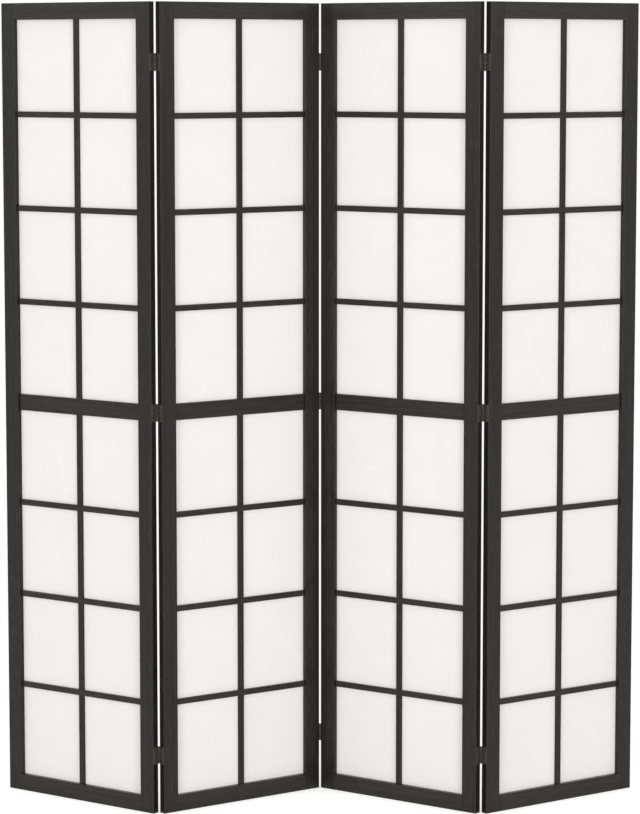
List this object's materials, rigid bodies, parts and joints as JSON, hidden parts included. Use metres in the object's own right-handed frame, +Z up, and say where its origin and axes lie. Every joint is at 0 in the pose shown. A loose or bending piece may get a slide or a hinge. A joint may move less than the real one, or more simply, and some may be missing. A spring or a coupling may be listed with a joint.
{
  "type": "folding screen",
  "caption": "Free-standing shoji folding screen: white paper behind a slim dark wood lattice, in panels hinged edge to edge that stand in a zigzag, open flat or fold face to face.",
  "frame": {"origin": "on the floor, under the middle of the screen as it stands in its zigzag", "axes": "+Z up, +X along the screen from the left panel to the right one as seen from the front, +Y from the front to the rear"},
  "size_m": [1.4214, 0.263, 1.784],
  "materials": {
    "frame_wood": "spruce stained near black, satin, grain showing",
    "lattice_wood": "spruce stained near black, satin",
    "rear_strip_wood": "spruce stained near black, satin",
    "paper": "matt white fibre-reinforced shade paper, faint long fibres",
    "hinge_steel": "steel with a dull dark bronze plating",
    "screw_steel": "steel with a dull dark bronze plating"
  },
  "bodies": {
    "panel_1": {"panel_1_bottom_rail": "frame_wood", "panel_1_end_beads": "rear_strip_wood", "panel_1_hinge_leaves": "hinge_steel", "panel_1_hinge_screws": "screw_steel", "panel_1_mid_batten": "rear_strip_wood", "panel_1_mid_rail": "lattice_wood", "panel_1_mullion": "lattice_wood", "panel_1_muntins_lower": "lattice_wood", "panel_1_muntins_upper": "lattice_wood", "panel_1_paper": "paper", "panel_1_side_beads": "rear_strip_wood", "panel_1_stile_left": "frame_wood", "panel_1_stile_right": "frame_wood", "panel_1_top_rail": "frame_wood", "hinge_pins_1_2": "hinge_steel"},
    "panel_2": {"panel_2_bottom_rail": "frame_wood", "panel_2_end_beads": "rear_strip_wood", "panel_2_hinge_leaves": "hinge_steel", "panel_2_hinge_screws": "screw_steel", "panel_2_mid_batten": "rear_strip_wood", "panel_2_mid_rail": "lattice_wood", "panel_2_mullion": "lattice_wood", "panel_2_muntins_lower": "lattice_wood", "panel_2_muntins_upper": "lattice_wood", "panel_2_paper": "paper", "panel_2_side_beads": "rear_strip_wood", "panel_2_stile_left": "frame_wood", "panel_2_stile_right": "frame_wood", "panel_2_top_rail": "frame_wood"},
    "panel_3": {"panel_3_bottom_rail": "frame_wood", "panel_3_end_beads": "rear_strip_wood", "panel_3_hinge_leaves": "hinge_steel", "panel_3_hinge_screws": "screw_steel", "panel_3_mid_batten": "rear_strip_wood", "panel_3_mid_rail": "lattice_wood", "panel_3_mullion": "lattice_wood", "panel_3_muntins_lower": "lattice_wood", "panel_3_muntins_upper": "lattice_wood", "panel_3_paper": "paper", "panel_3_side_beads": "rear_strip_wood", "panel_3_stile_left": "frame_wood", "panel_3_stile_right": "frame_wood", "panel_3_top_rail": "frame_wood", "hinge_pins_2_3": "hinge_steel", "hinge_pins_3_4": "hinge_steel"},
    "panel_4": {"panel_4_bottom_rail": "frame_wood", "panel_4_end_beads": "rear_strip_wood", "panel_4_hinge_leaves": "hinge_steel", "panel_4_hinge_screws": "screw_steel", "panel_4_mid_batten": "rear_strip_wood", "panel_4_mid_rail": "lattice_wood", "panel_4_mullion": "lattice_wood", "panel_4_muntins_lower": "lattice_wood", "panel_4_muntins_upper": "lattice_wood", "panel_4_paper": "paper", "panel_4_side_beads": "rear_strip_wood", "panel_4_stile_left": "frame_wood", "panel_4_stile_right": "frame_wood", "panel_4_top_rail": "frame_wood"}
  },
  "joints": [
    {"name": "fold_1_2", "type": "hinge", "parent": "panel_2", "child": "panel_1", "pos_m": [-0.35638, -0.11865, 0.892], "axis": [0, 0, 1], "range_deg": [-108, 72]},
    {"name": "fold_2_3", "type": "hinge", "parent": "panel_2", "child": "panel_3", "pos_m": [0, 0.11865, 0.892], "axis": [0, 0, 1], "range_deg": [-108, 72]},
    {"name": "fold_3_4", "type": "hinge", "parent": "panel_3", "child": "panel_4", "pos_m": [0.35638, -0.11865, 0.892], "axis": [0, 0, -1], "range_deg": [-108, 72]}
  ]
}
